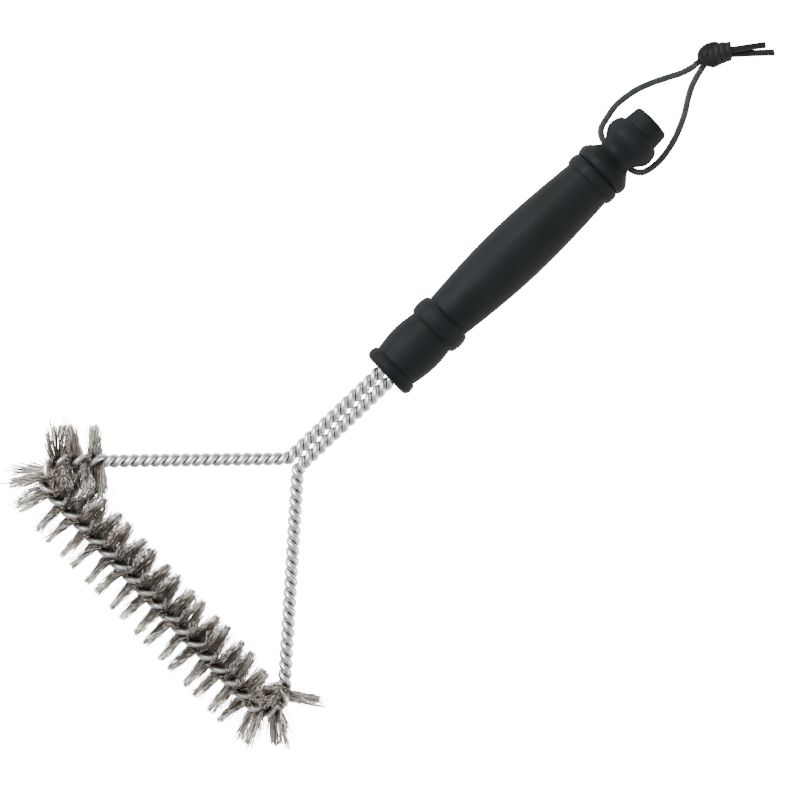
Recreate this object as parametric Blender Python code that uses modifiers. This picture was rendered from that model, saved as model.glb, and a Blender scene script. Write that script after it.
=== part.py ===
"""A three-sided grill cleaning brush.

A turned handle holds both ends of a head bent from two twisted wires.  The wires carry
tufts of wire bristle along the base of the triangle and round its two corners.  A leather
thong through the handle's neck hangs the brush up.

Metres, +Z up.  The brush lies on the plane z = 0, with its handle along +X and its origin
under the middle of its length and width.
"""

import math

import bmesh
import bpy
from mathutils import Vector

MM = 0.001
MERGE_DISTANCE = 0.01 * MM

# The whole brush
OVERALL_LENGTH = 305.3 * MM
BRISTLE_RADIUS = 14.7 * MM
GAP = 0.3 * MM

# Handle: stations are distances from its front face, along its axis
HANDLE_LENGTH = 155.0 * MM
GRIP_RADIUS = 13.1 * MM
FRONT_RADIUS = 9.4 * MM
BORE_RADIUS = 6.6 * MM
BORE_DEPTH = 38.0 * MM
HANDLE_STEPS = 32
# Each stretch of the turning: where it ends, the radius there, its shape and its points
TURNING = [
    (2.7, 12.0, "round", 3),
    (5.9, 10.6, "round", 3),
    (17.0, 11.9, "swell", 3),
    (26.5, 11.0, "swell", 3),
    (31.3, 12.7, "round", 4),
    (36.1, 10.6, "round", 4),
    (77.0, 13.1, "swell", 4),
    (116.8, 11.2, "swell", 4),
    (119.8, 12.4, "round", 3),
    (122.8, 11.2, "round", 3),
    (126.0, 12.6, "round", 3),
    (133.5, 8.1, "wave", 4),
    (141.5, 11.8, "wave", 4),
    (147.3, 8.95, "round", 4),
    (153.2, 8.45, "line", 1),
    (155.0, 6.6, "round", 3),
]

# Hole for the thong, straight across the neck
THONG_HOLE_STATION = 134.2 * MM
THONG_HOLE_RADIUS = 2.2 * MM
HOLE_SIDES = 16

# Head: the lines of its three sides, and the bends between them
APEX_STATION = -50.7 * MM
HALF_BASE = 78.95 * MM
CORNER_BEND = 7.6 * MM
APEX_BEND = 6.0 * MM
LEVEL_LENGTH = 28.0 * MM
PAIR_SPACING = 5.35 * MM
INSERTED_LENGTH = 32.0 * MM

# Wires, twisted in pairs to the left
WIRE_RADIUS = 1.15 * MM
WIRE_OFFSET = 1.35 * MM
WIRE_OFFSET_IN_BRISTLES = 1.65 * MM
TIGHT_PITCH = 8.6 * MM
BRISTLE_PITCH = 14.9 * MM
POINTS_PER_TURN = 7
WIRE_SIDES = 6

# Tufts: each fills half a turn of the wires, so its bristles stand across the pair.  Their
# middle is off the middle of the base, so one leg has more bristles than the other.
TUFT_COUNT = 24
TWIST_CENTRE = 6.6 * MM
TWIST_AT_CENTRE = math.pi / 2
TUFT_LENGTH = BRISTLE_PITCH / 2
TUFT_STATIONS = 6
FAN_ANGLE = math.radians(33)
FAN_POINTS = 4
WEB_HALF_THICKNESS = 0.2 * MM
WEB_RADIUS = 1.6 * MM
WEB_ANGLE = math.radians(9)
REACH_IN_BEND = 5.5 * MM
CORNER_MARGIN = 1.0 * MM

# Resin that fixes the wires in the handle's bore
PLUG_RADIUS = 6.3 * MM
PLUG_START = 3.0 * MM
PLUG_LENGTH = 31.0 * MM
PLUG_SIDES = 24
SLOT_END_STEPS = 6
SLOT_HALF_WIDTH = 5.65 * MM
SLOT_HALF_HEIGHT = 2.9 * MM

# Leather thong
THONG_RADIUS = 1.3 * MM
THONG_STEP = 5.5 * MM
THONG_SIDES = 8
KNOT_SIZE = (7.4 * MM, 5.6 * MM, 3.3 * MM)
KNOT_TURN = math.radians(-31)
KNOT_SEGMENTS = 16

# Finishes: colour, roughness and metallic value
LACQUER = ((0.016, 0.018, 0.019), 0.5, 0.0)
RESIN = ((0.35, 0.27, 0.15), 0.35, 0.0)
CORE_WIRE = ((0.55, 0.57, 0.55), 0.3, 1.0)
BRISTLE_WIRE = ((0.16, 0.135, 0.115), 0.5, 0.8)
LEATHER = ((0.02, 0.022, 0.022), 0.6, 0.0)

# Places that follow from the dimensions
HANDLE_FRONT_X = OVERALL_LENGTH / 2 - HANDLE_LENGTH
BASE_X = BRISTLE_RADIUS - OVERALL_LENGTH / 2
APEX_X = HANDLE_FRONT_X + APEX_STATION
HANDLE_AXIS_Z = GRIP_RADIUS
HEAD_Z = BRISTLE_RADIUS
LOOP_AXIS = Vector((HANDLE_FRONT_X + THONG_HOLE_STATION, 0.0, HANDLE_AXIS_Z))
LEG_ANGLE = math.atan2(HALF_BASE, APEX_X - BASE_X)

BRISTLE_HALF_RUN = TUFT_COUNT * TUFT_LENGTH / 2

# The thong's routes in millimetres, from the middle of the hole and from the knot
STRAND_LEFT = [
    (131.85, 0.2, 13.1), (131.85, 5.0, 13.1), (132.2, 9.2, 13.1), (134.1, 12.2, 13.0),
    (136.6, 13.5, 12.7), (139.8, 14.3, 12.2), (144.3, 15.3, 11.4), (149.0, 15.5, 10.4),
    (156.6, 14.5, 8.6), (163.5, 12.3, 7.0), (170.4, 9.3, 5.5), (175.4, 6.9, 4.7),
    (178.9, 5.7, 4.2), (181.5, 5.1, 4.0), (184.0, 4.9, 3.9),
]
STRAND_RIGHT = [
    (131.85, -0.2, 13.1), (131.85, -5.0, 13.1), (132.2, -9.2, 13.0), (134.1, -12.1, 12.6),
    (136.6, -13.3, 12.1), (139.6, -13.9, 11.5), (143.6, -14.0, 10.8), (147.7, -13.5, 10.0),
    (153.3, -12.2, 8.8), (159.2, -10.0, 7.4), (165.3, -7.0, 6.0), (170.8, -3.4, 5.0),
    (175.3, -0.9, 4.4), (179.5, 0.7, 4.0), (184.2, 1.9, 3.8),
]
KNOT_CENTRE = (192.1, 2.7, 3.4)
TAIL_UPPER = [(199.4, -1.6, 4.0), (202.8, -3.9, 3.5), (206.8, -6.6, 2.7), (210.7, -9.3, 1.6)]
TAIL_LOWER = [(197.8, -2.4, 1.6), (202.4, -6.3, 1.35), (206.9, -10.3, 1.35), (211.4, -14.3, 1.35)]


# ---------------------------------------------------------------- scene and materials

def clear_scene():
    for old in list(bpy.data.objects):
        bpy.data.objects.remove(old, do_unlink=True)


def new_collection(name):
    collection = bpy.data.collections.new(name)
    bpy.context.scene.collection.children.link(collection)
    return collection


def put_in(obj, collection):
    for other in list(obj.users_collection):
        other.objects.unlink(obj)
    collection.objects.link(obj)


def material(name, color, roughness, metallic):
    made = bpy.data.materials.new(name)
    made.use_nodes = True
    shader = made.node_tree.nodes["Principled BSDF"]
    shader.inputs["Base Color"].default_value = (*color, 1.0)
    shader.inputs["Roughness"].default_value = roughness
    shader.inputs["Metallic"].default_value = metallic
    return made


# ------------------------------------------------------------------- shared modelling

def add_part(name, data, collection, finish, parent=None):
    obj = bpy.data.objects.new(name, data)
    collection.objects.link(obj)
    obj.parent = parent
    data.materials.append(material(name, *finish))
    return obj


def tube_curve(name, points, radius, sides):
    """A wire or lace: a straight-sided spline with a round section and filled ends."""
    curve = bpy.data.curves.new(name, "CURVE")
    curve.dimensions = "3D"
    curve.bevel_depth = radius
    curve.bevel_resolution = sides // 2 - 2
    curve.use_fill_caps = True
    spline = curve.splines.new("POLY")
    spline.points.add(len(points) - 1)
    for point, place in zip(spline.points, points):
        point.co = (*place, 1.0)
    spline.use_smooth = True
    return curve


def smooth_route(route, step):
    """Points about a step apart on the smooth curve through a route in millimetres."""
    places = [Vector(place) * MM for place in route]
    before = places[0] * 2 - places[1]
    after = places[-1] * 2 - places[-2]
    ring = [before, *places, after]
    points = []
    for a, b, c, d in zip(ring, ring[1:], ring[2:], ring[3:]):
        pieces = max(1, round((c - b).length / step))
        for i in range(pieces):
            t = i / pieces
            points.append(
                0.5 * (2 * b + (c - a) * t + (2 * a - 5 * b + 4 * c - d) * t ** 2
                       + (3 * b - a - 3 * c + d) * t ** 3)
            )
    points.append(places[-1])
    return points


# --------------------------------------------------------------------------- handle

def rise(shape, t):
    """How far a stretch of the turning has risen from its valley, from 0 to 1."""
    if shape == "round":
        return math.sqrt(1 - (1 - t) ** 2)
    if shape == "swell":
        return math.sin(math.pi * t / 2)
    if shape == "wave":
        return (1 - math.cos(math.pi * t)) / 2
    return t


def turned_outline():
    """The handle's outer side as (radius, station), from the front face to its end."""
    outline = [(FRONT_RADIUS, 0.0)]
    for end, end_radius, shape, count in TURNING:
        radius, start = outline[-1]
        end, end_radius = end * MM, end_radius * MM
        for i in range(1, count + 1):
            t = i / count
            if end_radius >= radius:
                r = radius + (end_radius - radius) * rise(shape, t)
            else:
                r = end_radius + (radius - end_radius) * rise(shape, 1 - t)
            outline.append((r, start + (end - start) * t))
    return outline


def make_handle(collection, cutter):
    outer = turned_outline()
    profile = [(0.0, HANDLE_LENGTH), *reversed(outer)]
    profile += [(BORE_RADIUS, 0.0), (BORE_RADIUS, BORE_DEPTH), (0.0, BORE_DEPTH)]
    mesh = bpy.data.meshes.new("handle")
    mesh.from_pydata(
        [(r, 0.0, z) for r, z in profile],
        [(i, i + 1) for i in range(len(profile) - 1)],
        [],
    )
    handle = add_part("handle", mesh, collection, LACQUER)
    handle.location = (HANDLE_FRONT_X, 0.0, HANDLE_AXIS_Z)
    handle.rotation_euler = (0.0, math.pi / 2, 0.0)

    turn = handle.modifiers.new("turn", "SCREW")
    turn.steps = HANDLE_STEPS
    turn.render_steps = HANDLE_STEPS
    turn.use_merge_vertices = True
    turn.merge_threshold = MERGE_DISTANCE
    turn.use_smooth_shade = True

    drill = handle.modifiers.new("thong_hole", "BOOLEAN")
    drill.operation = "DIFFERENCE"
    drill.solver = "EXACT"
    drill.object = cutter
    return handle


def make_hole_cutter(collection):
    bpy.ops.mesh.primitive_cylinder_add(
        vertices=HOLE_SIDES,
        radius=THONG_HOLE_RADIUS,
        depth=4 * GRIP_RADIUS,
        location=LOOP_AXIS,
        rotation=(math.pi / 2, 0.0, 0.0),
    )
    cutter = bpy.context.object
    cutter.name = "thong_hole_cutter"
    cutter.hide_render = True
    cutter.display_type = "WIRE"
    put_in(cutter, collection)
    return cutter


def make_plug(collection):
    """Resin in the bore, with a long slot that the two twisted pairs stand in."""
    curve = bpy.data.curves.new("resin_plug", "CURVE")
    curve.dimensions = "2D"
    curve.fill_mode = "BOTH"
    curve.extrude = PLUG_LENGTH / 2
    rim = [
        (PLUG_RADIUS * math.cos(a), PLUG_RADIUS * math.sin(a))
        for a in (2 * math.pi * i / PLUG_SIDES for i in range(PLUG_SIDES))
    ]
    straight = SLOT_HALF_WIDTH - SLOT_HALF_HEIGHT
    slot = []
    for side in (1, -1):
        for i in range(SLOT_END_STEPS + 1):
            a = math.pi * i / SLOT_END_STEPS - math.pi / 2
            across = side * (straight + SLOT_HALF_HEIGHT * math.cos(a))
            slot.append((side * SLOT_HALF_HEIGHT * math.sin(a), across))
    for outline in (rim, slot):
        spline = curve.splines.new("POLY")
        spline.points.add(len(outline) - 1)
        for point, (x, y) in zip(spline.points, outline):
            point.co = (x, y, 0.0, 1.0)
        spline.use_cyclic_u = True
    plug = add_part("resin_plug", curve, collection, RESIN)
    middle = HANDLE_FRONT_X + PLUG_START + PLUG_LENGTH / 2
    plug.location = (middle, 0.0, HANDLE_AXIS_Z)
    plug.rotation_euler = (0.0, math.pi / 2, 0.0)
    return plug


# ------------------------------------------------------------ the core of the head

def half_route():
    """Half the line between the twisted wires, as stretches of (length, place at t).

    It starts at the middle of the base and ends inside the handle, on the +Y side.
    """
    leg = Vector((math.cos(LEG_ANGLE), -math.sin(LEG_ANGLE)))
    leg_start = Vector((BASE_X, HALF_BASE))
    shaft_y = PAIR_SPACING / 2
    leg_length = (HALF_BASE - shaft_y) / math.sin(LEG_ANGLE)
    base_turn = math.pi / 2 + LEG_ANGLE
    trim_corner = CORNER_BEND * math.tan(base_turn / 2)
    trim_apex = APEX_BEND * math.tan(LEG_ANGLE / 2)
    shaft_start = leg_start + leg * leg_length + Vector((trim_apex, 0.0))
    shaft_end_x = HANDLE_FRONT_X + INSERTED_LENGTH

    def straight(start, direction, length):
        return length, lambda s: (start + direction * s, direction)

    def bend(start, direction, radius, angle):
        side = 1 if angle > 0 else -1
        normal = Vector((-direction.y, direction.x)) * side
        centre = start + normal * radius

        def place(s):
            a = s / radius
            here = centre - normal * (radius * math.cos(a)) + direction * (radius * math.sin(a))
            return here, direction * math.cos(a) + normal * math.sin(a)

        return radius * abs(angle), place

    along_base = Vector((0.0, 1.0))
    return [
        straight(Vector((BASE_X, 0.0)), along_base, HALF_BASE - trim_corner),
        bend(Vector((BASE_X, HALF_BASE - trim_corner)), along_base, CORNER_BEND, -base_turn),
        straight(leg_start + leg * trim_corner, leg, leg_length - trim_corner - trim_apex),
        bend(leg_start + leg * (leg_length - trim_apex), leg, APEX_BEND, LEG_ANGLE),
        straight(shaft_start, Vector((1.0, 0.0)), shaft_end_x - shaft_start.x),
    ]


HALF_ROUTE = half_route()
HALF_LENGTH = sum(length for length, _ in HALF_ROUTE)
BASE_STRAIGHT = HALF_ROUTE[0][0]
BEND_END = BASE_STRAIGHT + HALF_ROUTE[1][0]


def core_height(x):
    """The head lies on its bristles, and its bare legs slope down to the handle's axis."""
    level_end = BASE_X + LEVEL_LENGTH
    t = min(1.0, max(0.0, (x - level_end) / (APEX_X - level_end)))
    return HEAD_Z + (HANDLE_AXIS_Z - HEAD_Z) * t


def core_at(s):
    """Place, direction along the wires and direction out of the triangle, at length s."""
    left = abs(s)
    for length, place in HALF_ROUTE:
        if left <= length or place is HALF_ROUTE[-1][1]:
            break
        left -= length
    here, along = place(left)
    if s < 0:
        here = Vector((here.x, -here.y))
        along = Vector((-along.x, along.y))
    outward = Vector((-along.y, along.x, 0.0))
    return Vector((here.x, here.y, core_height(here.x))), along, outward


def twist_at(s):
    """Angle that the wires have turned through, an upright quarter turn at the middle."""
    run = abs(s - TWIST_CENTRE)
    loose = min(run, BRISTLE_HALF_RUN) / BRISTLE_PITCH
    tight = max(0.0, run - BRISTLE_HALF_RUN) / TIGHT_PITCH
    return TWIST_AT_CENTRE + math.copysign(2 * math.pi * (loose + tight), s - TWIST_CENTRE)


def length_at_twist(twist):
    turns = abs(twist - TWIST_AT_CENTRE) / (2 * math.pi)
    loose_turns = BRISTLE_HALF_RUN / BRISTLE_PITCH
    run = min(turns, loose_turns) * BRISTLE_PITCH + max(0.0, turns - loose_turns) * TIGHT_PITCH
    return TWIST_CENTRE + math.copysign(run, twist - TWIST_AT_CENTRE)


def wire_offset(s):
    """The pair opens a little where bristles stand between its wires."""
    past_bristles = abs(s - TWIST_CENTRE) - BRISTLE_HALF_RUN - TIGHT_PITCH / 2
    t = min(1.0, max(0.0, past_bristles / TIGHT_PITCH))
    return WIRE_OFFSET_IN_BRISTLES + (WIRE_OFFSET - WIRE_OFFSET_IN_BRISTLES) * t


def make_wire(name, phase, collection):
    first = twist_at(-HALF_LENGTH)
    last = twist_at(HALF_LENGTH)
    count = round((last - first) / (2 * math.pi) * POINTS_PER_TURN)
    points = []
    for i in range(count + 1):
        twist = first + (last - first) * i / count
        s = length_at_twist(twist)
        middle, _, outward = core_at(s)
        angle = phase - twist
        side = outward * math.cos(angle) + Vector((0.0, 0.0, 1.0)) * math.sin(angle)
        points.append(middle + side * wire_offset(s))
    curve = tube_curve(name, points, WIRE_RADIUS, WIRE_SIDES)
    return add_part(name, curve, collection, CORE_WIRE)


# ---------------------------------------------------------------------------- tufts

def inner_room(s):
    """How far bristles may reach into the triangle before they meet the next side's."""
    run = abs(s)
    if BASE_STRAIGHT <= run <= BEND_END:
        return REACH_IN_BEND
    past_bend = BASE_STRAIGHT - run if run < BASE_STRAIGHT else run - BEND_END
    half_corner = math.pi / 4 - LEG_ANGLE / 2
    from_corner = past_bend + CORNER_BEND / math.tan(half_corner)
    return from_corner * math.tan(half_corner) - CORNER_MARGIN


def tuft_section(s):
    """Outline across a tuft: two fans of bristle and the thin web between the wires."""
    middle, _, outward = core_at(s)
    up = Vector((0.0, 0.0, 1.0))
    bristle_angle = -twist_at(s)
    room = inner_room(s)

    def place(radius, angle):
        inward = -math.cos(bristle_angle + angle)
        if radius * inward > room:
            radius = room / inward
        turned = bristle_angle + angle
        return middle + (outward * math.cos(turned) + up * math.sin(turned)) * radius

    outline = []
    for half_turn in (0.0, math.pi):
        outline.append(place(WEB_HALF_THICKNESS, half_turn - math.pi / 2))
        outline.append(place(WEB_RADIUS, half_turn - WEB_ANGLE))
        for i in range(FAN_POINTS):
            spread = FAN_ANGLE * (2 * i / (FAN_POINTS - 1) - 1)
            outline.append(place(BRISTLE_RADIUS, half_turn + spread))
        outline.append(place(WEB_RADIUS, half_turn + WEB_ANGLE))
    return outline


def make_tuft(number, collection):
    centre = TWIST_CENTRE + (number - (TUFT_COUNT + 1) / 2) * TUFT_LENGTH
    half = (TUFT_LENGTH - GAP) / 2
    shape = bmesh.new()
    rings = []
    for i in range(TUFT_STATIONS):
        s = centre + half * (2 * i / (TUFT_STATIONS - 1) - 1)
        rings.append([shape.verts.new(place) for place in tuft_section(s)])
    for ring, following in zip(rings, rings[1:]):
        for i in range(len(ring)):
            j = (i + 1) % len(ring)
            shape.faces.new((ring[i], ring[j], following[j]))
            shape.faces.new((ring[i], following[j], following[i]))
    for ring in (rings[0], rings[-1]):
        fan_size = len(ring) // 2
        for first in (0, fan_size):
            fan = ring[first + 1:first + fan_size]
            shape.faces.new(fan)
            web_end = ring[(first + fan_size) % len(ring)]
            shape.faces.new((ring[first], fan[0], fan[-1], web_end))
    bmesh.ops.recalc_face_normals(shape, faces=shape.faces)
    name = f"bristle_tuft_{number:02d}"
    mesh = bpy.data.meshes.new(name)
    shape.to_mesh(mesh)
    shape.free()
    return add_part(name, mesh, collection, BRISTLE_WIRE)


# ---------------------------------------------------------------------------- thong

def make_loop_axis(collection):
    """The loop swings about the hole across the handle's neck."""
    axis = bpy.data.objects.new("loop_axis", None)
    axis.empty_display_size = THONG_HOLE_RADIUS
    axis.location = LOOP_AXIS
    collection.objects.link(axis)
    return axis


def make_lace(name, route, collection, axis):
    points = [place - LOOP_AXIS for place in smooth_route(route, THONG_STEP)]
    curve = tube_curve(name, points, THONG_RADIUS, THONG_SIDES)
    return add_part(name, curve, collection, LEATHER, parent=axis)


def make_knot(collection, axis):
    bpy.ops.mesh.primitive_uv_sphere_add(
        segments=KNOT_SEGMENTS, ring_count=KNOT_SEGMENTS // 2, radius=1.0
    )
    knot = bpy.context.object
    knot.name = "thong_knot"
    for vertex in knot.data.vertices:
        vertex.co = [size * part for size, part in zip(KNOT_SIZE, vertex.co)]
    knot.data.shade_smooth()
    knot.data.materials.append(material("thong_knot", *LEATHER))
    knot.parent = axis
    knot.location = Vector(KNOT_CENTRE) * MM - LOOP_AXIS
    knot.rotation_euler = (0.0, 0.0, KNOT_TURN)
    put_in(knot, collection)
    return knot


def main():
    clear_scene()
    brush = new_collection("grill_cleaning_brush")
    cutters = new_collection("cutters")

    make_handle(brush, make_hole_cutter(cutters))
    make_plug(brush)
    make_wire("core_wire_a", math.pi / 2, brush)
    make_wire("core_wire_b", -math.pi / 2, brush)
    for number in range(1, TUFT_COUNT + 1):
        make_tuft(number, brush)

    axis = make_loop_axis(brush)
    make_lace("thong_strand_left", STRAND_LEFT, brush, axis)
    make_lace("thong_strand_right", STRAND_RIGHT, brush, axis)
    make_knot(brush, axis)
    make_lace("thong_tail_upper", TAIL_UPPER, brush, axis)
    make_lace("thong_tail_lower", TAIL_LOWER, brush, axis)


main()
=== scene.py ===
"""The looks of the grill cleaning brush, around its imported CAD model.

The head's two core wires are swept along the CAD's own line, thousands of fine wires stand
between them, the handle is turned again at full fineness, and the leather lace is laid
along the CAD's route and tied.  Metres, +Z up, in the CAD's frame.
"""

import math

import bpy
import numpy as np
from mathutils import Matrix, Vector


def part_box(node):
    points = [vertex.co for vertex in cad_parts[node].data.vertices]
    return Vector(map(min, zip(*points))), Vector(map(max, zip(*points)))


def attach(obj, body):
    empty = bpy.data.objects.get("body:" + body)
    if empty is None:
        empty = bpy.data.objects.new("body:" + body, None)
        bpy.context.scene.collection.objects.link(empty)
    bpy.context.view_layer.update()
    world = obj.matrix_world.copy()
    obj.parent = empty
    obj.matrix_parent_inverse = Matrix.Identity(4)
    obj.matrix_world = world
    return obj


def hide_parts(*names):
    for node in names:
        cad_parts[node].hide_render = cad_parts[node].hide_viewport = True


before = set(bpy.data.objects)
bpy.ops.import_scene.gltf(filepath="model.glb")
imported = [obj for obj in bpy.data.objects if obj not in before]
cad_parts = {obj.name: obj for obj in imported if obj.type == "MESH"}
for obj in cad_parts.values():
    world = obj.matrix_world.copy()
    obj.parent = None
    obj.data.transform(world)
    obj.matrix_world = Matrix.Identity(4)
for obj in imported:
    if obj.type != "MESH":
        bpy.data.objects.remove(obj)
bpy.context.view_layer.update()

MM = 0.001
UP = Vector((0.0, 0.0, 1.0))

# The handle's turning: stations are distances from its front face, in millimetres
HANDLE_LENGTH = 155.0
FRONT_RADIUS = 9.4
BORE_RADIUS = 6.6
BORE_DEPTH = 38.0
TURNING = [
    (2.7, 12.0, "round"),
    (5.9, 10.6, "round"),
    (17.0, 11.9, "swell"),
    (26.5, 11.0, "swell"),
    (31.3, 12.7, "round"),
    (36.1, 10.6, "round"),
    (77.0, 13.1, "swell"),
    (116.8, 11.2, "swell"),
    (119.8, 12.4, "round"),
    (122.8, 11.2, "round"),
    (126.0, 12.6, "round"),
    (133.5, 8.1, "wave"),
    (141.5, 11.8, "wave"),
    (147.3, 8.95, "round"),
    (153.2, 8.45, "line"),
    (155.0, 6.6, "round"),
]
TURNING_POINTS = 10
TURNING_STEPS = 112
BORE_EDGE = 0.6
NECK_RADIUS = 8.1
THONG_HOLE_STATION = 134.2
THONG_HOLE_RADIUS = 2.2
HOLE_MOUTH = 3.0
DRILL_REACH = 20.0
DRILL_STEPS = 48
SHARP_ANGLE = math.radians(38)

# The line of the head between its twisted wires
HANDLE_FRONT_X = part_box("handle")[0].x
AXIS_Z = 13.1 * MM
HEAD_Z = 14.7 * MM
BASE_X = -137.95 * MM
APEX_X = -53.05 * MM
HALF_BASE = 78.95 * MM
CORNER_BEND = 7.6 * MM
APEX_BEND = 6.0 * MM
LEVEL_LENGTH = 28.0 * MM
PAIR_SPACING = 5.7 * MM
INSERTED_LENGTH = 32.0 * MM
LEG_ANGLE = math.atan2(HALF_BASE, APEX_X - BASE_X)

# The wires touch in the legs and stand apart where bristles come between them
WIRE_RADIUS = 1.5 * MM
WIRE_OFFSET = 1.44 * MM
WIRE_OFFSET_IN_BRISTLES = 1.66 * MM
TIGHT_PITCH = 8.6 * MM
BRISTLE_PITCH = 14.9 * MM
TWIST_CENTRE = 6.6 * MM
TWIST_AT_CENTRE = math.pi / 2
WIRE_SIDES = 12
POINTS_PER_TURN = 24

# The attribute of a wire that says how close the other one is, which drives its painted shade,
# and the gap where that is 0
GROOVE = "groove"
GROOVE_WIDTH = 0.6 * MM

# Bristles
TUFT_COUNT = 24
TUFT_LENGTH = BRISTLE_PITCH / 2
BRISTLE_HALF_RUN = TUFT_COUNT * TUFT_LENGTH / 2
BRISTLE_RADIUS = 16.0 * MM
BRISTLES_PER_TUFT = 200
BRISTLE_WIRE_RADIUS = 0.16 * MM
BRISTLE_SIDES = 4
BRISTLE_RINGS = 4
BRISTLE_SEED = 4100
FINISH_SHARES = (0.28, 0.44, 0.28)

# How far inwards the bristles may reach at a bend, and how far past that they may overlap
BEND_ROOM = 5.5 * MM
ROOM_OVERLAP = 4.0 * MM

# Bristles that point up or down lean in over the triangle, the upper ones more
LEAN = math.radians(26)
LEAN_BELOW = math.radians(10)

# How far bristles lean along the head's line: the outer ones, and the inner ones at most
OUTER_TILT = -0.04
INNER_TILT = 0.2

# How far, in degrees, the outer bristles of the corners' tufts are combed past their bend
CORNER_SWEEP = {1: -10, 2: -26, 3: -4, 20: 8, 21: -28, 22: 13, 23: -6, 24: -2}

# How far the tips of a tuft draw together, as a share of where they start; under 0 they part
OUTER_CLUMP = 0.62
INNER_CLUMP = 0.12
LEG_INNER_CLUMP = -0.3

# How far neighbouring tufts draw together in pairs, and the upright bristles of a bend part
PAIRING = 0.8 * MM
CROWN_SPREAD = 6.0 * MM

# How bristles differ: where they start, their angle, tilt and length, and how they curve
ROOT_SPREAD = 0.25 * MM
ANGLE_SPREAD = math.radians(4.0)
TILT_SPREAD = 0.045
LENGTH_SPREAD = 0.045
CURVE_SPREAD = 0.5
STRAY_SHARE = 0.05
STRAY_SPREAD = 3.0

# The lace: the CAD's route in millimetres
STRAND_LEFT = [
    (131.85, 0.2, 13.1), (131.85, 5.0, 13.1), (132.2, 9.2, 13.1), (134.1, 12.2, 13.0),
    (136.6, 13.5, 12.7), (139.8, 14.3, 12.2), (144.3, 15.3, 11.4), (149.0, 15.5, 10.4),
    (156.6, 14.5, 8.6), (163.5, 12.3, 7.0), (170.4, 9.3, 5.5), (175.4, 6.9, 4.7),
    (178.9, 5.7, 4.2), (181.5, 5.1, 4.0), (184.0, 4.9, 3.9),
]
STRAND_RIGHT = [
    (131.85, -0.2, 13.1), (131.85, -5.0, 13.1), (132.2, -9.2, 13.0), (134.1, -12.1, 12.6),
    (136.6, -13.3, 12.1), (139.6, -13.9, 11.5), (143.6, -14.0, 10.8), (147.7, -13.5, 10.0),
    (153.3, -12.2, 8.8), (159.2, -10.0, 7.4), (165.3, -7.0, 6.0), (170.8, -3.4, 5.0),
    (175.3, -0.9, 4.4), (179.5, 0.7, 4.0), (184.2, 1.9, 3.8),
]
TAIL_UPPER = [(199.4, -1.6, 4.0), (202.8, -3.9, 3.5), (206.8, -6.6, 2.7), (210.7, -9.3, 1.6)]
TAIL_LOWER = [(197.8, -2.4, 1.6), (202.4, -6.3, 1.35), (206.9, -10.3, 1.35), (211.4, -14.3, 1.35)]
LACE_WIDTH = 2.7 * MM
LACE_THICKNESS = 2.2 * MM
LACE_SIDES = 16
LACE_STEP = 0.6 * MM

# The knot: runs of lace in millimetres from its middle; forward, left and up
KNOT_TURN = math.radians(-31)
KNOT_RUNS = [
    [(-9.0, -2.6, 0.5), (-8.1, -2.3, 0.5), (-5.0, -0.9, 0.5), (-1.0, 0.6, 0.4), (4.0, 0.8, 0.5),
     (8.5, 0.1, 0.6), (9.4, -0.3, 0.5)],
    [(-7.0, -5.2, 0.4), (-6.4, -4.7, 0.4), (-4.0, -2.7, 0.4), (-1.0, -1.6, -0.2),
     (4.0, -1.2, -1.0), (7.6, -1.4, -1.8), (8.6, -1.9, -1.9)],
    [(-3.0, 2.2, 0.2), (0.0, 2.7, 0.2), (4.4, 2.1, 0.2)],
    [(-2.4, -2.9, 0.2), (0.0, -3.1, 0.2), (4.0, -2.5, 0.2)],
]
KNOT_LOBES = [
    [(1.5, -3.7, 0.6), (-1.5, -4.2, 1.2), (-4.3, -2.6, 2.0), (-6.1, -0.3, 2.3),
     (-5.4, 1.9, 2.3), (-3.2, 3.3, 2.1), (-0.5, 3.9, 1.6), (2.0, 3.6, 0.8)],
    [(-0.6, -2.4, 1.7), (-2.9, -1.4, 2.2), (-3.8, 0.1, 2.5), (-3.0, 1.3, 2.4), (-0.6, 1.9, 2.0)],
]
KNOT_LACE_THICKNESS = 1.5 * MM
KNOT_STEP = 0.5 * MM

# The knot's wrap, in millimetres as well: a coil along the knot, flatter than it is wide
WRAP_TURNS = 3.8
WRAP_START = math.radians(-70)
WRAP_FROM = -2.6
WRAP_LENGTH = 9.2
WRAP_HALF_WIDTH = 4.1
WRAP_HALF_HEIGHT = 2.5
WRAP_POINTS = 91


# ------------------------------------------------------------------- camera and lights

# The camera looks straight down, with the handle up and to the right
VIEW_CENTRE = Vector((-5.1, -11.6, 13.1)) * MM
VIEW_TURN = math.radians(43.6)
VIEW_WIDTH = 336.2 * MM
CAMERA_DISTANCE = 1.35
SENSOR = 36.0

# Each light: the way to it (right, up, out of the picture), its size in metres, its power
KEY = (-1.0, 0.8, 1.1), 1.5, 60.0
FILL = (1.0, -0.8, 0.5), 1.2, 14.0
LIGHT_DISTANCE = 1.5

# The strengths of the world's light, whose own colour is a dark grey, and the floor's glow
HORIZON_LIGHT = 3.6
ZENITH_LIGHT = 20.0
FLOOR_GLOW = 17.0
BOUNCE_GLOW = 1.4
FLOOR_HALF = 8.0


def make_camera():
    data = bpy.data.cameras.new("camera")
    data.sensor_width = SENSOR
    data.lens = SENSOR * CAMERA_DISTANCE / VIEW_WIDTH
    camera = bpy.data.objects.new("camera", data)
    camera.location = VIEW_CENTRE + UP * CAMERA_DISTANCE
    camera.rotation_euler = (0.0, 0.0, -VIEW_TURN)
    bpy.context.scene.collection.objects.link(camera)
    bpy.context.scene.camera = camera


def view_direction(right, up, height):
    """A direction in the frame, from how far it goes right, up and out of the picture."""
    c, s = math.cos(VIEW_TURN), math.sin(VIEW_TURN)
    return Vector((c * right + s * up, -s * right + c * up, height)).normalized()


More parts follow.
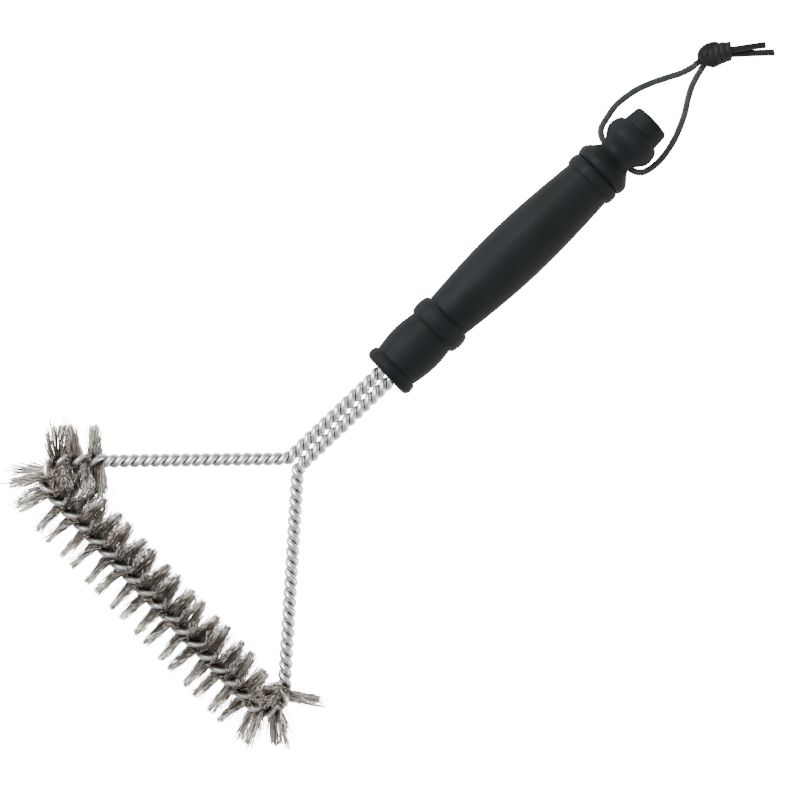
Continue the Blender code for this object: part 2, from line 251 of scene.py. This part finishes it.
def make_light(name, way, size, power):
    direction = view_direction(*way)
    data = bpy.data.lights.new(name, "AREA")
    data.shape = "DISK"
    data.size = size
    data.energy = power
    light = bpy.data.objects.new(name, data)
    light.location = VIEW_CENTRE + direction * LIGHT_DISTANCE
    light.rotation_euler = (-direction).to_track_quat("-Z", "Y").to_euler()
    bpy.context.scene.collection.objects.link(light)


def make_lighting():
    """Two soft lamps, and a world that is brighter overhead than at the horizon."""
    make_light("key", *KEY)
    make_light("fill", *FILL)
    world = bpy.data.worlds.new("studio")
    bpy.context.scene.world = world
    world.use_nodes = True
    nodes = world.node_tree.nodes
    place = nodes.new("ShaderNodeTexCoord")
    split = nodes.new("ShaderNodeSeparateXYZ")
    height = nodes.new("ShaderNodeMapRange")
    height.inputs["From Max"].default_value = 1.0
    height.inputs["To Min"].default_value = HORIZON_LIGHT
    height.inputs["To Max"].default_value = ZENITH_LIGHT
    join = world.node_tree.links.new
    join(place.outputs["Generated"], split.inputs["Vector"])
    join(split.outputs["Z"], height.inputs["Value"])
    join(height.outputs["Result"], nodes["Background"].inputs["Strength"])


def make_plane(name, height, finish):
    """A wide plane that isn't part of the brush."""
    half = FLOOR_HALF
    corners = [(-half, -half, 0), (half, -half, 0), (half, half, 0), (-half, half, 0)]
    mesh = bpy.data.meshes.new(name)
    mesh.from_pydata(corners, [], [(0, 1, 2, 3)])
    mesh.materials.append(finish)
    plane = bpy.data.objects.new(name, mesh)
    plane.location.z = height
    bpy.context.scene.collection.objects.link(plane)
    return plane


def make_floor():
    """A white floor that glows into the picture, over one that lights the brush less."""
    floor = make_plane("floor", -0.05 * MM, glowing_material("floor", FLOOR_GLOW))
    floor.visible_diffuse = False
    floor.visible_glossy = False
    bounce = make_plane("floor_bounce", -0.1 * MM, glowing_material("floor_bounce", BOUNCE_GLOW))
    bounce.visible_camera = False


# --------------------------------------------------------------------------- materials

def new_material(name):
    """A material and its Principled shader."""
    made = bpy.data.materials.new(name)
    made.use_nodes = True
    return made, made.node_tree.nodes["Principled BSDF"]


def add_node(material, kind, inputs=(), **settings):
    node = material.node_tree.nodes.new(kind)
    for key, value in settings.items():
        setattr(node, key, value)
    for key, value in dict(inputs).items():
        node.inputs[key].default_value = value
    return node


def link(material, source, target):
    material.node_tree.links.new(source, target)


def object_pattern(material, scale, detail, stretch=(1.0, 1.0, 1.0)):
    """Noise in the piece's own coordinates, with scale in waves per metre."""
    place = add_node(material, "ShaderNodeTexCoord")
    mapping = add_node(material, "ShaderNodeMapping", {"Scale": stretch})
    noise = add_node(
        material, "ShaderNodeTexNoise",
        {"Scale": scale, "Detail": detail, "Roughness": 0.55},
    )
    link(material, place.outputs["Object"], mapping.inputs["Vector"])
    link(material, mapping.outputs["Vector"], noise.inputs["Vector"])
    return noise.outputs["Fac"]


def ramp(material, factor, stops):
    """A colour ramp; each stop is (place, colour), with the colour as one grey or three."""
    node = add_node(material, "ShaderNodeValToRGB")
    while len(node.color_ramp.elements) < len(stops):
        node.color_ramp.elements.new(0.5)
    for element, (place, color) in zip(node.color_ramp.elements, stops):
        element.position = place
        color = (color,) * 3 if isinstance(color, float) else color
        element.color = (*color, 1.0)
    link(material, factor, node.inputs["Fac"])
    return node.outputs["Color"]


def add_bump(material, shader, height, distance, strength=1.0, after=None):
    bump = add_node(material, "ShaderNodeBump", {"Distance": distance, "Strength": strength})
    link(material, height, bump.inputs["Height"])
    if after is not None:
        link(material, after, bump.inputs["Normal"])
    link(material, bump.outputs["Normal"], shader.inputs["Normal"])
    return bump.outputs["Normal"]


def lacquer_material():
    """Turned wood under matte black lacquer: faint grain and a fine orange peel."""
    made, shader = new_material("lacquer")
    shader.inputs["Specular IOR Level"].default_value = 0.1
    grain = object_pattern(made, 1.0, detail=4.0, stretch=(22.0, 520.0, 520.0))
    cloud = object_pattern(made, 60.0, detail=3.0)
    peel = object_pattern(made, 2600.0, detail=2.0)
    color = ramp(made, cloud, [(0.3, (0.0046, 0.0058, 0.0066)), (0.75, (0.0072, 0.0089, 0.0101))])
    link(made, color, shader.inputs["Base Color"])
    link(made, ramp(made, grain, [(0.3, 0.54), (0.75, 0.68)]), shader.inputs["Roughness"])
    first = add_bump(made, shader, grain, 0.05 * MM, 0.5)
    add_bump(made, shader, peel, 0.012 * MM, 0.5, after=first)
    return made


def resin_material():
    made, shader = new_material("resin")
    cloud = object_pattern(made, 300.0, detail=4.0)
    color = ramp(made, cloud, [(0.3, (0.16, 0.11, 0.05)), (0.7, (0.32, 0.24, 0.13))])
    link(made, color, shader.inputs["Base Color"])
    link(made, ramp(made, cloud, [(0.3, 0.25), (0.7, 0.45)]), shader.inputs["Roughness"])
    add_bump(made, shader, cloud, 0.2 * MM)
    return made


def core_wire_material():
    """Galvanised wire: a mottled zinc skin, with painted shade where the other wire lies against
    it.
    """
    made, shader = new_material("core_wire")
    shader.inputs["Metallic"].default_value = 1.0
    spangle = object_pattern(made, 700.0, detail=4.0)
    skin = object_pattern(made, 3200.0, detail=2.0)
    color = ramp(
        made, spangle,
        [(0.3, (0.52, 0.55, 0.54)), (0.55, (0.7, 0.72, 0.7)), (0.8, (0.84, 0.85, 0.82))],
    )
    groove = add_node(made, "ShaderNodeAttribute", attribute_name=GROOVE)
    # Painted shade: the wire's colour is darkened where the other wire is close
    painted_groove_shade = ramp(made, groove.outputs["Fac"], [(0.1, 1.0), (0.9, (0.035, 0.045, 0.042))])
    blend = add_node(made, "ShaderNodeMix", data_type="RGBA", blend_type="MULTIPLY")
    blend.inputs["Factor"].default_value = 1.0
    link(made, color, blend.inputs[6])
    link(made, painted_groove_shade, blend.inputs[7])
    link(made, blend.outputs[2], shader.inputs["Base Color"])
    link(made, ramp(made, spangle, [(0.3, 0.42), (0.7, 0.27)]), shader.inputs["Roughness"])
    add_bump(made, shader, skin, 0.02 * MM, 0.6)
    return made


def bristle_material(name, dark, light, roughness):
    """Fine drawn wire with a brown cast that varies from place to place."""
    made, shader = new_material(name)
    shader.inputs["Metallic"].default_value = 0.9
    mottle = object_pattern(made, 420.0, detail=4.0)
    link(made, ramp(made, mottle, [(0.3, dark), (0.72, light)]), shader.inputs["Base Color"])
    rough = ramp(made, mottle, [(0.3, roughness + 0.1), (0.7, roughness)])
    link(made, rough, shader.inputs["Roughness"])
    return made


def leather_material(name, dark, light):
    """Cut leather lace: matte, pored, worn lighter in places."""
    made, shader = new_material(name)
    shader.inputs["Specular IOR Level"].default_value = 0.24
    pores = object_pattern(made, 2400.0, detail=4.0)
    wear = object_pattern(made, 500.0, detail=4.0)
    color = ramp(made, wear, [(0.3, dark), (0.75, light)])
    link(made, color, shader.inputs["Base Color"])
    link(made, ramp(made, wear, [(0.3, 0.62), (0.75, 0.48)]), shader.inputs["Roughness"])
    add_bump(made, shader, pores, 0.05 * MM, 0.8)
    return made


def glowing_material(name, strength):
    made, shader = new_material(name)
    shader.inputs["Base Color"].default_value = (0.9, 0.9, 0.9, 1.0)
    shader.inputs["Roughness"].default_value = 0.9
    shader.inputs["Specular IOR Level"].default_value = 0.0
    shader.inputs["Emission Color"].default_value = (1.0, 1.0, 1.0, 1.0)
    shader.inputs["Emission Strength"].default_value = strength
    return made


# ----------------------------------------------------------------------- mesh building

def add_piece(name, points, faces, body, nodes, materials, finishes=None):
    """A smooth-shaded mesh that rides on a body and stands for CAD nodes."""
    mesh = bpy.data.meshes.new(name)
    mesh.from_pydata([tuple(p) for p in points], [], [tuple(f) for f in faces])
    for material in materials:
        mesh.materials.append(material)
    if finishes is not None:
        mesh.polygons.foreach_set("material_index", finishes)
    mesh.shade_smooth()
    mesh.validate()
    piece = bpy.data.objects.new(name, mesh)
    bpy.context.scene.collection.objects.link(piece)
    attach(piece, body)
    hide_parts(*nodes)
    return piece


def directions(line):
    """The unit direction along a line at each of its points."""
    along = np.gradient(line, axis=0)
    return along / np.linalg.norm(along, axis=1)[:, None]


def carried_frames(line, first_side):
    """Two directions across a line at each point, carried along it without twisting."""
    along = directions(line)
    sides = np.zeros_like(line)
    side = np.asarray(first_side, float)
    for i, direction in enumerate(along):
        side = side - direction * (side @ direction)
        side /= np.linalg.norm(side)
        sides[i] = side
    return sides, np.cross(along, sides)


def facing_frames(line, side):
    """Two directions across a line at each point, the first as near to `side` as it can be."""
    along = directions(line)
    side = np.asarray(side, float)
    sides = side - along * (along @ side)[:, None]
    sides /= np.linalg.norm(sides, axis=1)[:, None]
    return sides, np.cross(along, sides)


def tube_faces(rings, sides):
    """Quads between the rings of a tube, and a cap on each end."""
    faces = []
    for i in range(rings - 1):
        for j in range(sides):
            k = (j + 1) % sides
            a, b = i * sides, (i + 1) * sides
            faces.append((a + j, a + k, b + k, b + j))
    faces.append(tuple(range(sides))[::-1])
    last = (rings - 1) * sides
    faces.append(tuple(range(last, last + sides)))
    return faces


def round_section(radius, sides):
    turns = 2 * np.pi * np.arange(sides) / sides
    return np.stack([np.cos(turns), np.sin(turns)], axis=1) * radius


def swept(line, sides, ups, section):
    """The points of a section swept along a line."""
    across = section[None, :, :1] * sides[:, None, :] + section[None, :, 1:] * ups[:, None, :]
    return (line[:, None, :] + across).reshape(-1, 3)


def smooth_route(route, step):
    """Points about a step apart on the smooth curve through a route in millimetres."""
    places = [Vector(place) * MM for place in route]
    ring = [places[0] * 2 - places[1], *places, places[-1] * 2 - places[-2]]
    points = []
    for a, b, c, d in zip(ring, ring[1:], ring[2:], ring[3:]):
        pieces = max(1, round((c - b).length / step))
        for i in range(pieces):
            t = i / pieces
            points.append(
                0.5 * (2 * b + (c - a) * t + (2 * a - 5 * b + 4 * c - d) * t ** 2
                       + (3 * b - a - 3 * c + d) * t ** 3)
            )
    points.append(places[-1])
    return points


def as_array(vectors):
    return np.array([tuple(v) for v in vectors])


# ---------------------------------------------------------------------------- the lace

def lace_section(thickness):
    """A cut lace: nearly a rectangle, with its corners rounded."""
    turns = 2 * np.pi * (np.arange(LACE_SIDES) + 0.5) / LACE_SIDES
    power = 0.55
    x = np.sign(np.cos(turns)) * np.abs(np.cos(turns)) ** power * LACE_WIDTH / 2
    y = np.sign(np.sin(turns)) * np.abs(np.sin(turns)) ** power * thickness / 2
    return np.stack([x, y], axis=1)


def make_lace(name, route, nodes, leather):
    """A flat-lying lace along a route, and the points of its middle."""
    points = smooth_route(route, LACE_STEP)
    line = as_array(points)
    along = directions(line)
    sides = np.cross(along, np.array(UP))
    sides /= np.linalg.norm(sides, axis=1)[:, None]
    ups = np.cross(sides, along)
    mesh_points = swept(line, sides, ups, lace_section(LACE_THICKNESS))
    faces = tube_faces(len(line), LACE_SIDES)
    piece = add_piece(name, mesh_points, faces, "hanging_loop", nodes, [leather])
    return piece, points


def make_thong():
    """The lace through the neck: two strands, the knot that ties them and their two tails."""
    leather = leather_material("leather", (0.014, 0.0172, 0.0178), (0.033, 0.039, 0.0405))
    # A darker copy of the same leather for the knot and the tails: painted shade where they lie
    # in shadow
    dark = leather_material("leather_painted_shade", (0.002, 0.0027, 0.003), (0.0062, 0.0076, 0.0081))
    upper, _ = make_lace("lace_tail_upper", TAIL_UPPER, ["thong_tail_upper"], dark)
    lower, _ = make_lace("lace_tail_lower", TAIL_LOWER, ["thong_tail_lower"], dark)
    knot = make_knot(dark)
    for name, route, node, exit_y, pieces in (
        ("lace_left", STRAND_LEFT, "thong_strand_left", NECK_RADIUS * MM, [knot, upper]),
        ("lace_right", STRAND_RIGHT, "thong_strand_right", -NECK_RADIUS * MM, [lower]),
    ):
        strand, points = make_lace(name, route, [node], leather)


def knot_wrap():
    """The turns of lace that close round the runs, tapering towards the tails."""
    route = []
    for i in range(WRAP_POINTS):
        t = i / (WRAP_POINTS - 1)
        angle = WRAP_START - 2 * math.pi * WRAP_TURNS * t
        reach = 1.0 - 0.36 * max(0.0, t - 0.3) ** 1.6 - 0.9 * max(0.0, 0.2 - t)
        route.append((
            WRAP_FROM + WRAP_LENGTH * t,
            -0.1 + WRAP_HALF_WIDTH * math.cos(angle) * reach,
            0.1 + WRAP_HALF_HEIGHT * math.sin(angle) * reach,
        ))
    return route


def make_knot(leather):
    """Both ends of the lace, tied together: they run through, round and over themselves."""
    low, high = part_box("thong_knot")
    place = Matrix.Translation((low + high) / 2) @ Matrix.Rotation(KNOT_TURN, 4, "Z")
    forward = place.to_3x3() @ Vector((1.0, 0.0, 0.0))
    thick = lace_section(LACE_THICKNESS)
    flat = lace_section(KNOT_LACE_THICKNESS)
    runs = [(route, UP, thick[:, ::-1]) for route in KNOT_RUNS]
    runs += [(route, UP, flat[:, ::-1]) for route in KNOT_LOBES]
    runs.append((knot_wrap(), forward, flat))
    points, faces = [], []
    for route, first_side, section in runs:
        line = as_array(place @ p for p in smooth_route(route, KNOT_STEP))
        sides, ups = facing_frames(line, first_side)
        ring_faces = tube_faces(len(line), LACE_SIDES)
        start = len(points)
        faces.extend(tuple(start + i for i in face) for face in ring_faces)
        points.extend(swept(line, sides, ups, section))
    return add_piece(
        "lace_knot", points, faces, "hanging_loop", ["thong_knot"], [leather]
    )


# -------------------------------------------------------------------------- the handle

def rise(shape, t):
    """How far a stretch of the turning has risen from its valley, from 0 to 1."""
    if shape == "round":
        return math.sqrt(1 - (1 - t) ** 2)
    if shape == "swell":
        return math.sin(math.pi * t / 2)
    if shape == "wave":
        return (1 - math.cos(math.pi * t)) / 2
    return t


def turned_outline():
    """The handle's outer side as (station, radius) in millimetres, front to end."""
    outline = [(0.0, FRONT_RADIUS)]
    for end, end_radius, shape in TURNING:
        start, radius = outline[-1]
        for i in range(1, TURNING_POINTS + 1):
            t = i / TURNING_POINTS
            if end_radius >= radius:
                r = radius + (end_radius - radius) * rise(shape, t)
            else:
                r = end_radius + (radius - end_radius) * rise(shape, 1 - t)
            outline.append((start + (end - start) * t, r))
    return outline


def turned_mesh(outline, steps, transform):
    """A closed turned shape round X; the outline starts and ends on the axis."""
    turns = 2 * np.pi * np.arange(steps) / steps
    rings = []
    for x, r in outline[1:-1]:
        ring = np.stack([np.full(steps, x), r * np.cos(turns), r * np.sin(turns)], axis=1)
        rings.append(ring)
    points = np.concatenate([[(outline[0][0], 0, 0)], *rings, [(outline[-1][0], 0, 0)]])
    faces = []
    for j in range(steps):
        k = (j + 1) % steps
        faces.append((0, 1 + k, 1 + j))
        for i in range(len(rings) - 1):
            a, b = 1 + i * steps, 1 + (i + 1) * steps
            faces.append((a + j, a + k, b + k, b + j))
        last = 1 + (len(rings) - 1) * steps
        faces.append((last + j, last + k, len(points) - 1))
    mesh = bpy.data.meshes.new("turned")
    mesh.from_pydata([tuple(p) for p in points * MM], [], faces)
    mesh.transform(transform)
    return mesh


def drilled(blank_mesh, drill_mesh):
    """The blank's mesh with the drill's shape cut out of it."""
    blank = bpy.data.objects.new("blank", blank_mesh)
    drill = bpy.data.objects.new("drill", drill_mesh)
    for shape in (blank, drill):
        bpy.context.scene.collection.objects.link(shape)
    cut = blank.modifiers.new("cut", "BOOLEAN")
    cut.operation = "DIFFERENCE"
    cut.solver = "EXACT"
    cut.object = drill
    bpy.context.view_layer.update()
    mesh = bpy.data.meshes.new_from_object(
        blank.evaluated_get(bpy.context.evaluated_depsgraph_get())
    )
    for shape in (blank, drill):
        bpy.data.objects.remove(shape)
    return mesh


def make_handle(lacquer):
    """The turned handle with its bore, drilled across the neck for the lace."""
    outline = [(BORE_DEPTH, 0.0), (BORE_DEPTH, BORE_RADIUS), (BORE_EDGE, BORE_RADIUS)]
    outline += [(0.0, BORE_RADIUS + BORE_EDGE), *turned_outline(), (HANDLE_LENGTH, 0.0)]
    place = Matrix.Translation((HANDLE_FRONT_X, 0.0, AXIS_Z))
    blank = turned_mesh(outline, TURNING_STEPS, place)

    # Half the drill's outline: it opens into a mouth at the neck's surface
    half_drill = [
        (DRILL_REACH, 0.0),
        (DRILL_REACH, HOLE_MOUTH + 3.0),
        (NECK_RADIUS + 1.0, HOLE_MOUTH),
        (NECK_RADIUS - 1.2, THONG_HOLE_RADIUS),
    ]
    drill_outline = [(-x, r) for x, r in half_drill] + half_drill[::-1]
    hole = Matrix.Translation((HANDLE_FRONT_X + THONG_HOLE_STATION * MM, 0.0, AXIS_Z))
    hole = hole @ Matrix.Rotation(math.pi / 2, 4, "Z")

    mesh = drilled(blank, turned_mesh(drill_outline, DRILL_STEPS, hole))
    mesh.name = "turned_handle"
    mesh.materials.clear()
    mesh.materials.append(lacquer)
    mesh.shade_smooth()
    mesh.set_sharp_from_angle(angle=SHARP_ANGLE)
    handle = bpy.data.objects.new("turned_handle", mesh)
    bpy.context.scene.collection.objects.link(handle)
    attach(handle, "brush")
    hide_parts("handle")


# ---------------------------------------------------------------------------- the head

def straight(start, direction, length):
    """A straight stretch: its length, and the place and direction at any length along it."""
    return length, lambda s: (start + direction * s, direction)


def bend(start, direction, radius, angle):
    """A round stretch, as for straight; it turns left where the angle is over 0."""
    normal = Vector((-direction.y, direction.x)) * math.copysign(1.0, angle)
    centre = start + normal * radius

    def place(s):
        a = s / radius
        here = centre - normal * (radius * math.cos(a)) + direction * (radius * math.sin(a))
        return here, direction * math.cos(a) + normal * math.sin(a)

    return radius * abs(angle), place


def half_route():
    """Half the line between the twisted wires, as stretches.

    It starts at the middle of the base and ends inside the handle, on the +Y side.
    """
    leg = Vector((math.cos(LEG_ANGLE), -math.sin(LEG_ANGLE)))
    leg_start = Vector((BASE_X, HALF_BASE))
    leg_length = (HALF_BASE - PAIR_SPACING / 2) / math.sin(LEG_ANGLE)
    base_turn = math.pi / 2 + LEG_ANGLE
    trim_corner = CORNER_BEND * math.tan(base_turn / 2)
    trim_apex = APEX_BEND * math.tan(LEG_ANGLE / 2)
    shaft_start = leg_start + leg * leg_length + Vector((trim_apex, 0.0))
    shaft_end_x = HANDLE_FRONT_X + INSERTED_LENGTH

    along_base = Vector((0.0, 1.0))
    return [
        straight(Vector((BASE_X, 0.0)), along_base, HALF_BASE - trim_corner),
        bend(Vector((BASE_X, HALF_BASE - trim_corner)), along_base, CORNER_BEND, -base_turn),
        straight(leg_start + leg * trim_corner, leg, leg_length - trim_corner - trim_apex),
        bend(leg_start + leg * (leg_length - trim_apex), leg, APEX_BEND, LEG_ANGLE),
        straight(shaft_start, Vector((1.0, 0.0)), shaft_end_x - shaft_start.x),
    ]


HALF_ROUTE = half_route()
HALF_LENGTH = sum(length for length, _ in HALF_ROUTE)
BASE_STRAIGHT = HALF_ROUTE[0][0]
BEND_END = BASE_STRAIGHT + HALF_ROUTE[1][0]


def core_height(x):
    """The head lies on its bristles, and its bare legs slope down to the handle's axis."""
    level_end = BASE_X + LEVEL_LENGTH
    t = min(1.0, max(0.0, (x - level_end) / (APEX_X - level_end)))
    return HEAD_Z + (AXIS_Z - HEAD_Z) * t


def core_at(s):
    """Place, direction along the wires and direction out of the triangle, at length s."""
    left = abs(s)
    for length, place in HALF_ROUTE[:-1]:
        if left <= length:
            break
        left -= length
    else:
        place = HALF_ROUTE[-1][1]
    here, along = place(left)
    if s < 0:
        here = Vector((here.x, -here.y))
        along = Vector((-along.x, along.y))
    outward = Vector((-along.y, along.x, 0.0))
    return Vector((here.x, here.y, core_height(here.x))), Vector((*along, 0.0)), outward


def twist_at(s):
    """Angle that the wires have turned through, an upright quarter turn at the middle."""
    run = abs(s - TWIST_CENTRE)
    loose = min(run, BRISTLE_HALF_RUN) / BRISTLE_PITCH
    tight = max(0.0, run - BRISTLE_HALF_RUN) / TIGHT_PITCH
    return TWIST_AT_CENTRE + math.copysign(2 * math.pi * (loose + tight), s - TWIST_CENTRE)


def length_at_twist(twist):
    """The length along the head's line where the wires have turned through an angle."""
    turns = abs(twist - TWIST_AT_CENTRE) / (2 * math.pi)
    loose_turns = BRISTLE_HALF_RUN / BRISTLE_PITCH
    run = min(turns, loose_turns) * BRISTLE_PITCH + max(0.0, turns - loose_turns) * TIGHT_PITCH
    return TWIST_CENTRE + math.copysign(run, twist - TWIST_AT_CENTRE)


def wire_offset(s):
    """The pair opens a little where bristles stand between its wires."""
    past_bristles = abs(s - TWIST_CENTRE) - BRISTLE_HALF_RUN + TIGHT_PITCH / 4
    t = min(1.0, max(0.0, past_bristles * 2 / TIGHT_PITCH))
    t = t * t * (3 - 2 * t)
    return WIRE_OFFSET_IN_BRISTLES + (WIRE_OFFSET - WIRE_OFFSET_IN_BRISTLES) * t


def wire_line(phase):
    """The middle of one wire from end to end."""
    first = twist_at(-HALF_LENGTH)
    last = twist_at(HALF_LENGTH)
    count = round((last - first) / (2 * math.pi) * POINTS_PER_TURN)
    line = []
    for i in range(count + 1):
        twist = first + (last - first) * i / count
        s = length_at_twist(twist)
        middle, _, outward = core_at(s)
        angle = phase - twist
        side = outward * math.cos(angle) + UP * math.sin(angle)
        line.append(tuple(middle + side * wire_offset(s)))
    return np.array(line)


def closeness(points, other):
    """How near a wire's points are to the other wire: 1 where they touch, 0 well away."""
    rings = points.reshape(len(other), -1, 3)
    nearest = np.full(rings.shape[:2], np.inf)
    for shift in range(-POINTS_PER_TURN // 2, POINTS_PER_TURN // 2 + 1):
        index = np.clip(np.arange(len(other)) + shift, 0, len(other) - 1)
        gap = np.linalg.norm(rings - other[index][:, None, :], axis=2) - WIRE_RADIUS
        nearest = np.minimum(nearest, gap)
    return np.clip(1 - nearest / GROOVE_WIDTH, 0, 1).reshape(-1)


def make_wire(name, phase, node, finish):
    """One core wire, which knows how close the other one is for its material's painted shade."""
    line = wire_line(phase)
    sides, ups = carried_frames(line, UP)
    section = round_section(WIRE_RADIUS, WIRE_SIDES)
    points = swept(line, sides, ups, section)
    faces = tube_faces(len(line), WIRE_SIDES)
    wire = add_piece(name, points, faces, "brush", [node], [finish])

    groove = wire.data.attributes.new(GROOVE, "FLOAT", "POINT")
    groove.data.foreach_set("value", closeness(points, wire_line(phase + math.pi)))


# ------------------------------------------------------------------------- the bristles

def inner_room(s):
    """How far bristles may reach into the triangle before they meet the next side's."""
    run = abs(s)
    if BASE_STRAIGHT <= run <= BEND_END:
        return BEND_ROOM
    past_bend = BASE_STRAIGHT - run if run < BASE_STRAIGHT else run - BEND_END
    half_corner = math.pi / 4 - LEG_ANGLE / 2
    from_corner = past_bend + CORNER_BEND / math.tan(half_corner)
    return from_corner * math.tan(half_corner)


def leaned(angle):
    """The angle that a bristle ends up at, from the angle that the twist gives it."""
    angle = math.remainder(angle, 2 * math.pi)
    lean = LEAN if angle > 0 else -LEAN_BELOW
    return angle + lean * math.sin(angle) ** 2


def bristle_direction(angle, s, tilt, sweep):
    """Where a bristle points; one without room inside the triangle stands up instead."""
    _, along, outward = core_at(s)
    reach_out = math.cos(angle)
    side = outward
    if reach_out > 0:
        side = outward * math.cos(sweep) + along * (math.sin(sweep) * math.copysign(1.0, s))
    height = math.sin(angle)
    room = (inner_room(s) + ROOM_OVERLAP) / BRISTLE_RADIUS
    if -reach_out > room:
        reach_out = -room
        height = math.copysign(math.sqrt(1 - room * room), height)
    return (side * reach_out + UP * height + along * tilt).normalized()


def clump_at(s, outer):
    """The share of its way to the tuft's middle that a bristle's tip is drawn."""
    if outer:
        return OUTER_CLUMP
    return LEG_INNER_CLUMP if abs(s) > BEND_END else INNER_CLUMP


def bristle_line(rng, s, centre, end, sweep, pairing):
    """The points of one bristle, from between the core wires to its tip."""
    middle, along, outward = core_at(s)
    twist_angle = -twist_at(s)
    across = outward * -math.sin(twist_angle) + UP * math.cos(twist_angle)
    root = middle + across * rng.uniform(-ROOT_SPREAD, ROOT_SPREAD)
    loose = STRAY_SPREAD if rng.random() < STRAY_SHARE else 1.0
    angle = leaned(twist_angle + end) + rng.normal(0.0, ANGLE_SPREAD) * loose
    outer = math.cos(angle) > 0
    tilt = OUTER_TILT if outer else -INNER_TILT * math.cos(angle)
    tilt += rng.normal(0.0, TILT_SPREAD) * loose
    direction = bristle_direction(angle, s, tilt, sweep)

    reach = BRISTLE_RADIUS * (1 - abs(rng.normal(0.0, LENGTH_SPREAD)))
    curve = Vector(rng.normal(0.0, CURVE_SPREAD, 3)) * MM
    curve -= direction * curve.dot(direction)
    curve += along * ((centre - s) * clump_at(s, outer) + (-pairing if outer else pairing))
    upright = abs(direction.z) > 0.4
    if BASE_STRAIGHT < abs(s) < BEND_END and upright:
        curve += outward * (rng.uniform(0.0, 1.0) * CROWN_SPREAD)
    t = np.linspace(0.0, 1.0, BRISTLE_RINGS)[:, None]
    line = np.array(root) + np.array(direction) * reach * t + np.array(curve) * t ** 2
    line[:, 2] = np.maximum(line[:, 2], BRISTLE_WIRE_RADIUS)
    return line, np.array(direction.orthogonal().normalized())


def make_tuft(number, finishes):
    """Half a turn of bristles: fine wires that pass between the core wires."""
    rng = np.random.default_rng(BRISTLE_SEED + number)
    centre = TWIST_CENTRE + (number - (TUFT_COUNT + 1) / 2) * TUFT_LENGTH
    sweep = math.radians(CORNER_SWEEP.get(number, 0))
    pairing = PAIRING if number % 2 else -PAIRING
    section = round_section(BRISTLE_WIRE_RADIUS, BRISTLE_SIDES)
    points, colors = [], []
    for i in range(BRISTLES_PER_TUFT):
        s = centre + TUFT_LENGTH * ((i + rng.random()) / BRISTLES_PER_TUFT - 0.5)
        for end in (0.0, math.pi):
            line, first_side = bristle_line(rng, s, centre, end, sweep, pairing)
            sides, ups = carried_frames(line, first_side)
            points.append(swept(line, sides, ups, section))
            colors.append(rng.choice(len(finishes), p=FINISH_SHARES))
    one = tube_faces(BRISTLE_RINGS, BRISTLE_SIDES)
    size = BRISTLE_RINGS * BRISTLE_SIDES
    faces = [tuple(k * size + i for i in face) for k in range(len(points)) for face in one]
    add_piece(
        f"bristles_{number:02d}", np.concatenate(points), faces, "brush",
        [f"bristle_tuft_{number:02d}"], finishes, np.repeat(colors, len(one)),
    )


# --------------------------------------------------------------------------- the scene

def main():
    make_camera()
    make_lighting()
    make_floor()

    make_thong()
    make_handle(lacquer_material())
    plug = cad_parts["resin_plug"]
    plug.data.materials.clear()
    plug.data.materials.append(resin_material())

    core_finish = core_wire_material()
    make_wire("wire_a", math.pi / 2, "core_wire_a", core_finish)
    make_wire("wire_b", -math.pi / 2, "core_wire_b", core_finish)
    finishes = [
        bristle_material("bristle_dark", (0.08, 0.079, 0.076), (0.18, 0.168, 0.152), 0.45),
        bristle_material("bristle_middle", (0.28, 0.258, 0.23), (0.48, 0.435, 0.385), 0.45),
        bristle_material("bristle_light", (0.56, 0.52, 0.47), (0.85, 0.79, 0.71), 0.4),
    ]
    for number in range(1, TUFT_COUNT + 1):
        make_tuft(number, finishes)


main()
